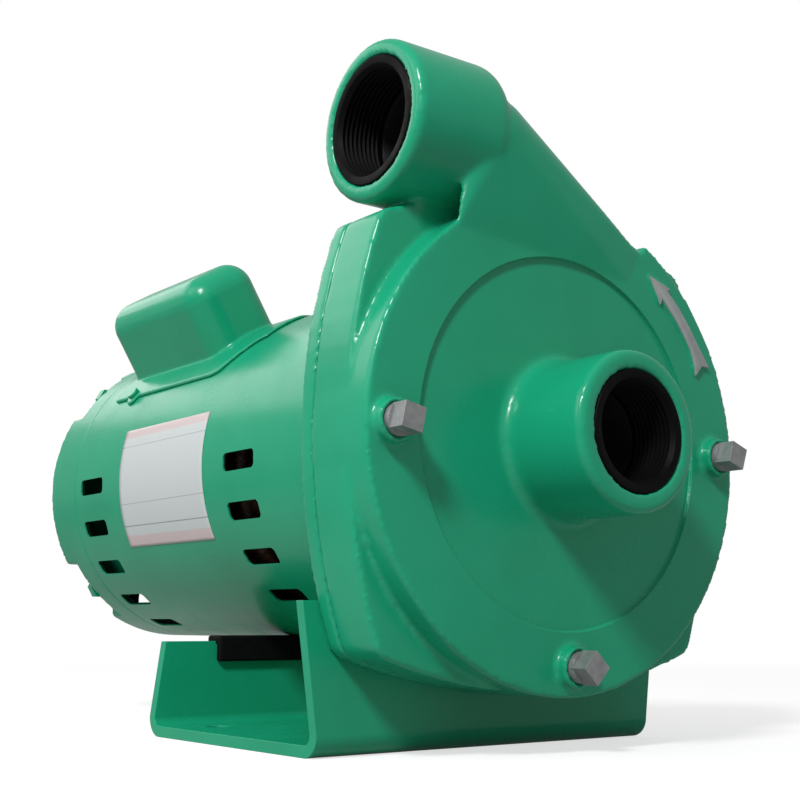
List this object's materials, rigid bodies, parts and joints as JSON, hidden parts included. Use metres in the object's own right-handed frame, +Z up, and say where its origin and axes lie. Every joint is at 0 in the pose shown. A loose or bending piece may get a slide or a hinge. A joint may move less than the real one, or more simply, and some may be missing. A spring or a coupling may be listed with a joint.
{
  "type": "centrifugal pump",
  "caption": "Close-coupled centrifugal pump: volute casing with front suction and top side discharge, motor barrel with capacitor cover, on a bent steel base.",
  "frame": {"origin": "centre of the foot bolt pattern, on the floor", "axes": "+Y along the shaft from the pump to the motor, +Z up, +X to the right as seen from the suction side"},
  "size_m": [0.2044, 0.3713, 0.2811],
  "materials": {
    "green_enamel": "glossy green enamel on cast iron and steel",
    "plug_grey": "grey zinc-plated malleable iron",
    "port_black": "black satin",
    "rubber": "matte black rubber",
    "bronze": "cast bronze",
    "steel": "machined steel",
    "iron": "laminated core iron",
    "aluminium": "die-cast aluminium",
    "ceramic": "polished ceramic",
    "winding": "varnished copper wire",
    "black_plastic": "black moulded plastic",
    "brown_board": "phenolic board"
  },
  "bodies": {
    "frame": {"casing": "green_enamel", "suction_port_bush": "port_black", "discharge_port_bush": "port_black", "pipe_plugs": "plug_grey", "seal_seat": "ceramic", "seal_cup": "rubber", "casing_o_ring": "rubber", "adapter": "green_enamel", "upper_casing_bolts": "steel", "lower_casing_bolts": "steel", "base": "green_enamel", "rubber_cushion": "rubber", "front_end_bell": "green_enamel", "motor_barrel": "green_enamel", "rear_end_bell": "green_enamel", "tie_bolts": "steel", "stator_core": "iron", "front_winding": "winding", "rear_winding": "winding", "wave_washer": "steel", "front_bearing_outer": "steel", "rear_bearing_outer": "steel", "start_switch": "brown_board", "terminal_board": "brown_board", "thermal_protector": "black_plastic", "shaft_end_cap": "black_plastic", "start_capacitor": "black_plastic", "capacitor_cover": "green_enamel", "cover_screws": "steel"},
    "rotor": {"impeller": "bronze", "impeller_nut": "steel", "impeller_key": "steel", "seal_spring": "steel", "seal_head": "black_plastic", "rotor_core": "iron", "rotor_cage": "aluminium", "shaft": "steel", "slinger": "rubber", "front_bearing_inner": "steel", "rear_bearing_inner": "steel", "cooling_fan": "black_plastic", "governor": "steel"},
    "front_ball_set": {"front_bearing_balls": "steel", "front_bearing_cage": "bronze"},
    "rear_ball_set": {"rear_bearing_balls": "steel", "rear_bearing_cage": "bronze"},
    "switch_spool": {"switch_spool": "brown_board"}
  },
  "joints": [
    {"name": "rotor_spin", "type": "hinge", "parent": "frame", "child": "rotor", "pos_m": [0, 0, 0.124], "axis": [0, -1, 0], "continuous": true},
    {"name": "front_ball_orbit", "type": "hinge", "parent": "frame", "child": "front_ball_set", "pos_m": [0, 0, 0.124], "axis": [0, -1, 0], "continuous": true},
    {"name": "rear_ball_orbit", "type": "hinge", "parent": "frame", "child": "rear_ball_set", "pos_m": [0, 0, 0.124], "axis": [0, -1, 0], "continuous": true},
    {"name": "switch_spool_slide", "type": "slide", "parent": "rotor", "child": "switch_spool", "axis": [0, -1, 0], "range_m": [0, 0.0025], "stiffness_N_per_m": 400, "springref_m": -0.002}
  ],
  "couplings": [
    {"joint": "front_ball_orbit", "follows": "rotor_spin", "ratio": 0.3818},
    {"joint": "rear_ball_orbit", "follows": "rotor_spin", "ratio": 0.3818}
  ]
}
